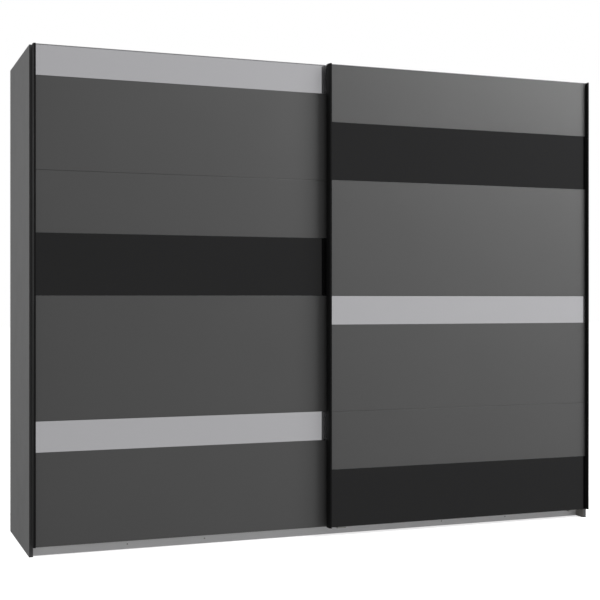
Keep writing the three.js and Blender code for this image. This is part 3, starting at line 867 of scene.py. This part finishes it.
# ---- Wheels ----
# Acetal wheels with a groove that rides on the track's bead, moulded over a small ball bearing
# with a steel shield. A clip on the axle's end keeps each wheel on.
white_acetal = surface(
    "white_acetal", MOULDED,
    {"Body": (0.66, 0.655, 0.63, 1), "Cloud": (0.61, 0.605, 0.575, 1), "Matt": 0.3},
    {"Metallic": 0.0, "IOR": 1.48}, bump=0.08)
WHEEL_BORE = 3.15 * MM
WHEEL_HUB = 7.0 * MM
WHEEL_INNER_RIM = 10.4 * MM
WHEEL_TREAD = 12.0 * MM
GROOVE_HALF = 2.1 * MM
WEB_DEPTH = 1.2 * MM
BORE_ARRIS = 0.3 * MM
RIM_ROUND = 0.7 * MM
STEP_SLOPE = 0.4 * MM
POCKETS = 6
POCKET_SHARE = 0.62       # of each sixth of the web; the rest is a spoke
POCKET_LAND = 0.3 * MM
POCKET_DEPTH = 1.2 * MM
SPIN_STEPS = 48
SHIELD_RADIUS = 6.2 * MM
SHIELD_THICKNESS = 0.3 * MM
SHIELD_SUNK = 0.1 * MM
AXLE_CLIP_RADIUS = 5.2 * MM
AXLE_CLIP_PLAY = 0.9 * MM
AXLE_CLIP_THICKNESS = 0.8 * MM
AXLE_GROOVE = 0.9 * WHEEL_BORE
SMALL_SPIN_STEPS = 32


def turned(shape, profile, centre, steps=SPIN_STEPS):
    """Spins a closed section of (radius, along Y) points round an axle through the centre."""
    ring = [shape.verts.new((centre.x + radius, centre.y + along, centre.z))
            for radius, along in profile]
    edges = [shape.edges.new((ring[i], ring[(i + 1) % len(ring)])) for i in range(len(ring))]
    bmesh.ops.spin(shape, geom=ring + edges, cent=centre, axis=(0, 1, 0), dvec=(0, 0, 0),
                   angle=2 * math.pi, steps=steps, use_merge=True, use_duplicate=False)
    bmesh.ops.recalc_face_normals(shape, faces=shape.faces)


def wheel_profile(rim, half):
    """A wheel's section from bore to groove on one side, and back on the other."""
    face = [(WHEEL_BORE, half - BORE_ARRIS), (WHEEL_BORE + BORE_ARRIS, half), (WHEEL_HUB, half),
            (WHEEL_HUB + STEP_SLOPE, half - WEB_DEPTH), (WHEEL_INNER_RIM, half - WEB_DEPTH),
            (WHEEL_INNER_RIM + STEP_SLOPE, half), (rim - RIM_ROUND, half),
            (rim, half - RIM_ROUND), (rim, GROOVE_HALF + STEP_SLOPE), (WHEEL_TREAD, GROOVE_HALF)]
    return face + [(radius, -along) for radius, along in reversed(face)]


for door in ("left_door", "right_door"):
    for end in ("left", "right"):
        node = f"{door}_wheel_{end}"
        low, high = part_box(node)
        centre = (low + high) / 2
        rim = (high.z - low.z) / 2
        half = (high.y - low.y) / 2
        shape = bmesh.new()
        turned(shape, wheel_profile(rim, half), centre)
        web = []
        for face in shape.faces:
            spot = face.calc_center_median() - centre
            radius = math.hypot(spot.x, spot.z)
            sector = math.atan2(spot.z, spot.x) / (2 * math.pi) * POCKETS % 1.0
            on_web = WHEEL_HUB < radius < WHEEL_INNER_RIM and abs(face.normal.y) > 0.9
            if on_web and sector < POCKET_SHARE:
                web.append(face)
        bmesh.ops.inset_region(shape, faces=web, thickness=POCKET_LAND, depth=-POCKET_DEPTH)
        smooth_piece(f"{node}_tyre", shape, white_acetal, node, [node])
        shape = bmesh.new()
        for way in (-1, 1):
            inside = way * (half - SHIELD_SUNK)
            outside = way * (half + SHIELD_THICKNESS)
            turned(shape, [(WHEEL_BORE, inside), (SHIELD_RADIUS, inside),
                           (SHIELD_RADIUS, outside), (WHEEL_BORE, outside)], centre,
                   SMALL_SPIN_STEPS)
        smooth_piece(f"{node}_bearing", shape, zinc_plate, node)
        inside = -half - AXLE_CLIP_PLAY
        outside = inside - AXLE_CLIP_THICKNESS
        shape = bmesh.new()
        turned(shape, [(AXLE_GROOVE, outside), (AXLE_CLIP_RADIUS, outside),
                       (AXLE_CLIP_RADIUS, inside), (AXLE_GROOVE, inside)], centre,
               SMALL_SPIN_STEPS)
        smooth_piece(f"{door}_axle_clip_{end}", shape, zinc_plate, door)


# ---- Guides ----
# A bent arm under each end of a door dips into its groove in the floor rail. Its tip wears a
# plastic glider, and two screws hold the arm to the door's back.
dark_plastic = surface(
    "dark_plastic", MOULDED,
    {"Body": (0.035, 0.035, 0.036, 1), "Cloud": (0.045, 0.045, 0.046, 1), "Matt": 0.4},
    {"Metallic": 0.0, "IOR": 1.47}, bump=0.15)
GLIDER_SKIN = 0.7 * MM
GLIDER_HEIGHT = 16 * MM
GLIDER_OVERHANG = 2 * MM
GLIDER_ARRIS = 1.2 * MM
TIP = 5 * MM
GUIDE_SCREW_HEAD = (3.6 * MM, 1.0 * MM)
GUIDE_SCREW_SIDE = 11 * MM
GUIDE_SCREW_DROPS = (10 * MM, 34 * MM)
for door in ("left_door", "right_door"):
    board_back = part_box(f"{door}_board_4")[1].y
    spots = []
    for end in ("left", "right"):
        node = f"{door}_guide_{end}"
        bent_strip(node, zinc_plate)
        low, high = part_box(node)
        middle = (low.x + high.x) / 2
        shape = bmesh.new()
        cuboid(shape, (low.x - GLIDER_OVERHANG, high.y - TIP - GLIDER_SKIN, low.z - GLIDER_SKIN),
               (high.x + GLIDER_OVERHANG, high.y + GLIDER_SKIN, low.z + GLIDER_HEIGHT),
               GLIDER_ARRIS, 3)
        smooth_piece(f"{door}_glider_{end}", shape, dark_plastic, door)
        for side in (-1, 1):
            for drop in GUIDE_SCREW_DROPS:
                x = middle + side * GUIDE_SCREW_SIDE
                spots.append((x, board_back + DOOR_PLATE[door], high.z - drop))
    heads(f"{door}_guide_screws", spots, (0, 1, 0), GUIDE_SCREW_HEAD, zinc_plate, door)


# ---- Studio ----
# A plain pale floor, a white surround and soft lights; the camera stands to the left of the
# wardrobe at half its height and looks level.
FLOOR_REACH = 40.0
FLOOR_GAP = 0.2 * MM


def by_ray(tree, kind, otherwise, then):
    """One shader for the rays of this kind and another for the rest."""
    rays = tree.nodes.new("ShaderNodeLightPath")
    pick = tree.nodes.new("ShaderNodeMixShader")
    tree.links.new(rays.outputs[kind], pick.inputs["Fac"])
    tree.links.new(otherwise, pick.inputs[1])
    tree.links.new(then, pick.inputs[2])
    return pick.outputs["Shader"]


def studio_floor():
    """A pale floor to the eye, a darker one for the light it throws back, none in reflections."""
    material = bpy.data.materials.new("studio_floor")
    material.use_nodes = True
    tree = material.node_tree
    shader = tree.nodes["Principled BSDF"]
    shader.inputs["Base Color"].default_value = (0.32, 0.32, 0.32, 1)
    shader.inputs["Roughness"].default_value = 0.9
    shader.inputs["Specular IOR Level"].default_value = 0.0
    pale = tree.nodes.new("ShaderNodeBsdfDiffuse")
    pale.inputs["Color"].default_value = (0.8, 0.8, 0.8, 1)
    glow = tree.nodes.new("ShaderNodeEmission")
    glow.inputs["Strength"].default_value = 0.75
    lit = tree.nodes.new("ShaderNodeAddShader")
    tree.links.new(pale.outputs["BSDF"], lit.inputs[0])
    tree.links.new(glow.outputs["Emission"], lit.inputs[1])
    open_below = tree.nodes.new("ShaderNodeBsdfTransparent")
    unseen = by_ray(tree, "Is Glossy Ray", shader.outputs["BSDF"], open_below.outputs["BSDF"])
    look = by_ray(tree, "Is Camera Ray", unseen, lit.outputs["Shader"])
    tree.links.new(look, tree.nodes["Material Output"].inputs["Surface"])
    shape = bmesh.new()
    bmesh.ops.create_grid(shape, x_segments=1, y_segments=1, size=FLOOR_REACH)
    mesh = to_mesh("studio_floor", shape, [material])
    floor = bpy.data.objects.new("studio_floor", mesh)
    floor.location.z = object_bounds()[0].z - FLOOR_GAP
    bpy.context.scene.collection.objects.link(floor)
    floor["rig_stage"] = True


studio_floor()


def surround(lit, mirrored):
    """White to the camera, one soft grey in reflections and another as the light that falls."""
    world = bpy.data.worlds.new("surround")
    bpy.context.scene.world = world
    world.use_nodes = True
    tree = world.node_tree

    def backdrop(strength):
        shade = tree.nodes.new("ShaderNodeBackground")
        shade.inputs["Color"].default_value = (1, 1, 1, 1)
        shade.inputs["Strength"].default_value = strength
        return shade.outputs["Background"]

    unseen = by_ray(tree, "Is Glossy Ray", backdrop(lit), backdrop(mirrored))
    look = by_ray(tree, "Is Camera Ray", unseen, backdrop(1.0))
    tree.links.new(look, tree.nodes["World Output"].inputs["Surface"])


surround(lit=0.38, mirrored=0.325)


def softbox(name, place, target, width, height, power, mirrored=True):
    """A rectangular area light aimed at a point; mirrored says whether reflections show it."""
    data = bpy.data.lights.new(name, "AREA")
    data.shape = "RECTANGLE"
    data.size = width
    data.size_y = height
    data.energy = power
    lamp = bpy.data.objects.new(name, data)
    lamp.location = place
    aim = Vector(target) - Vector(place)
    lamp.rotation_euler = aim.to_track_quat("-Z", "Y").to_euler()
    lamp.visible_glossy = mirrored
    bpy.context.scene.collection.objects.link(lamp)


softbox("left_softbox", (-5.0, 0.6, 2.0), (-1.35, 0.0, 1.0), 3.0, 3.0, 117)
softbox("high_right_softbox", (3.3, -2.6, 6.0), (1.0, -0.3, 1.2), 2.6, 2.0, 206)
softbox("right_softbox", (3.0, -3.4, 3.4), (1.3, -0.3, 1.6), 1.8, 1.2, 187, mirrored=False)
softbox("side_softbox", (3.3, -1.8, 2.4), (1.2, -0.3, 1.5), 1.0, 1.0, 60, mirrored=False)
softbox("upper_softbox", (2.0, -1.3, 3.2), (1.3, -0.3, 1.9), 0.9, 0.9, 18, mirrored=False)

camera_data = bpy.data.cameras.new("camera")
camera_data.lens = 68.57
camera_data.sensor_width = 36.0
camera_data.shift_x = 0.0757
camera = bpy.data.objects.new("camera", camera_data)
camera.location = (-2.0642, -5.0055, 1.0640)
camera.rotation_euler = (math.radians(90), 0, math.radians(-19.697))
bpy.context.scene.collection.objects.link(camera)
bpy.context.scene.camera = camera
bpy.context.scene.view_settings.view_transform = "Standard"
